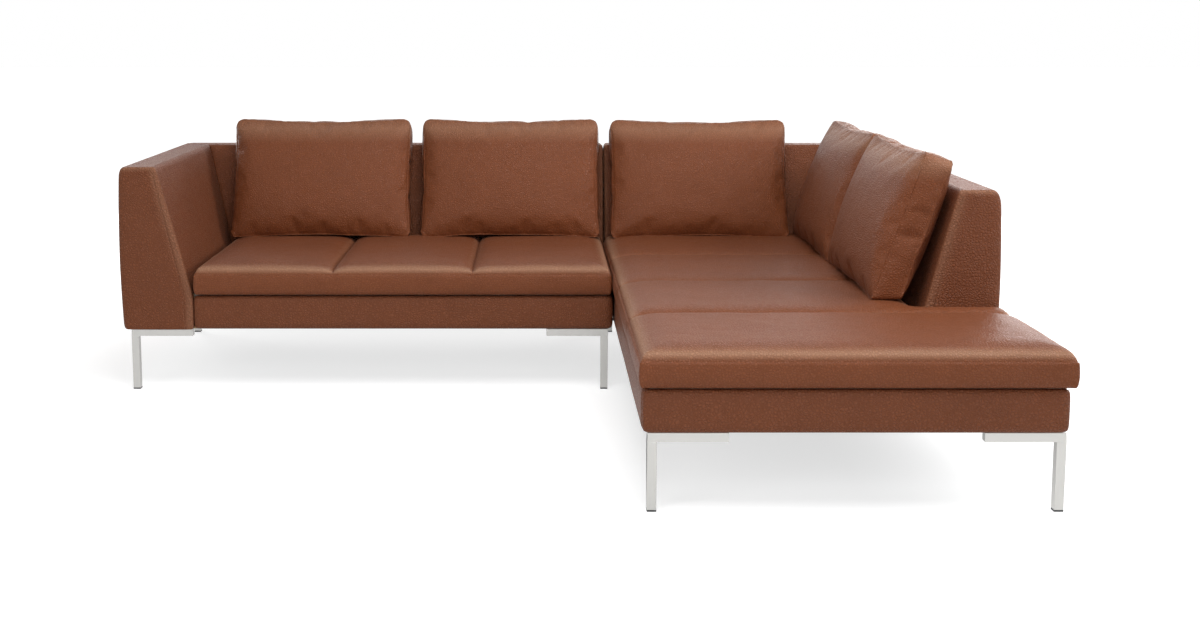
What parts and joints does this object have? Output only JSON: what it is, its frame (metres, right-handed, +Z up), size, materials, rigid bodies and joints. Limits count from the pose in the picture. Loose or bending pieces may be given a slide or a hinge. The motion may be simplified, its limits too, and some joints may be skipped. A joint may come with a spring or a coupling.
{
  "type": "corner sofa",
  "caption": "Leather corner sofa: a seat module with one arm beside a chaise module, loose back cushions, slim steel legs.",
  "frame": {"origin": "on the floor, in the middle of the overall width and depth", "axes": "+X towards the chaise side, +Y to the rear of the sofa, +Z up"},
  "size_m": [2.728, 2.205, 0.8558],
  "materials": {
    "cognac_leather": "satin",
    "timber": "matte",
    "webbing": "matte",
    "felt": "matte",
    "dust_cloth": "matte",
    "foam": "matte",
    "filling": "matte",
    "grip_tape": "matte",
    "zip": "matte",
    "zinc_steel": "satin",
    "glide_plastic": "matte",
    "satin_steel": "satin"
  },
  "bodies": {
    "root": {"left_front_rail": "timber", "left_rear_rail": "timber", "left_cross_rails": "timber", "chaise_side_rails": "timber", "chaise_cross_rails": "timber", "corner_blocks": "timber", "left_arm_frame": "timber", "left_back_frame": "timber", "rear_back_frame": "timber", "side_back_frame": "timber", "left_webbing": "webbing", "chaise_webbing": "webbing", "left_deck_pad": "felt", "chaise_deck_pad": "felt", "left_dust_cover": "dust_cloth", "chaise_dust_cover": "dust_cloth", "left_seat_foam": "foam", "chaise_seat_foam": "foam", "left_seat_cover": "cognac_leather", "chaise_seat_cover": "cognac_leather", "left_plinth_cover": "cognac_leather", "chaise_plinth_cover": "cognac_leather", "left_arm_cover": "cognac_leather", "left_back_cover": "cognac_leather", "rear_back_cover": "cognac_leather", "side_back_cover": "cognac_leather", "hook_tapes": "grip_tape", "loop_tapes": "grip_tape", "frame_screws": "zinc_steel", "link_plates": "zinc_steel", "link_screws": "zinc_steel", "leg_bolts": "zinc_steel", "leg_inserts": "zinc_steel", "leg_glides": "glide_plastic", "leg_arm_front": "satin_steel", "leg_arm_rear": "satin_steel", "leg_seat_front": "satin_steel", "leg_seat_rear": "satin_steel", "leg_chaise_front_inner": "satin_steel", "leg_chaise_rear_inner": "satin_steel", "leg_chaise_front_outer": "satin_steel", "leg_chaise_rear_outer": "satin_steel"},
    "back_cushion_1": {"back_cushion_1_cover": "cognac_leather", "back_cushion_1_filling": "filling", "back_cushion_1_zip": "zip"},
    "back_cushion_2": {"back_cushion_2_cover": "cognac_leather", "back_cushion_2_filling": "filling", "back_cushion_2_zip": "zip"},
    "back_cushion_3": {"back_cushion_3_cover": "cognac_leather", "back_cushion_3_filling": "filling", "back_cushion_3_zip": "zip"},
    "back_cushion_4": {"back_cushion_4_cover": "cognac_leather", "back_cushion_4_filling": "filling", "back_cushion_4_zip": "zip"},
    "back_cushion_5": {"back_cushion_5_cover": "cognac_leather", "back_cushion_5_filling": "filling", "back_cushion_5_zip": "zip"}
  },
  "joints": [
    {"name": "lift_cushion_1", "type": "slide", "parent": "root", "child": "back_cushion_1", "axis": [0, 0, 1], "range_m": [0, 0.4]},
    {"name": "lift_cushion_2", "type": "slide", "parent": "root", "child": "back_cushion_2", "axis": [0, 0, 1], "range_m": [0, 0.4]},
    {"name": "lift_cushion_3", "type": "slide", "parent": "root", "child": "back_cushion_3", "axis": [0, 0, 1], "range_m": [0, 0.4]},
    {"name": "lift_cushion_4", "type": "slide", "parent": "root", "child": "back_cushion_4", "axis": [0, 0, 1], "range_m": [0, 0.4]},
    {"name": "lift_cushion_5", "type": "slide", "parent": "root", "child": "back_cushion_5", "axis": [0, 0, 1], "range_m": [0, 0.4]}
  ]
}
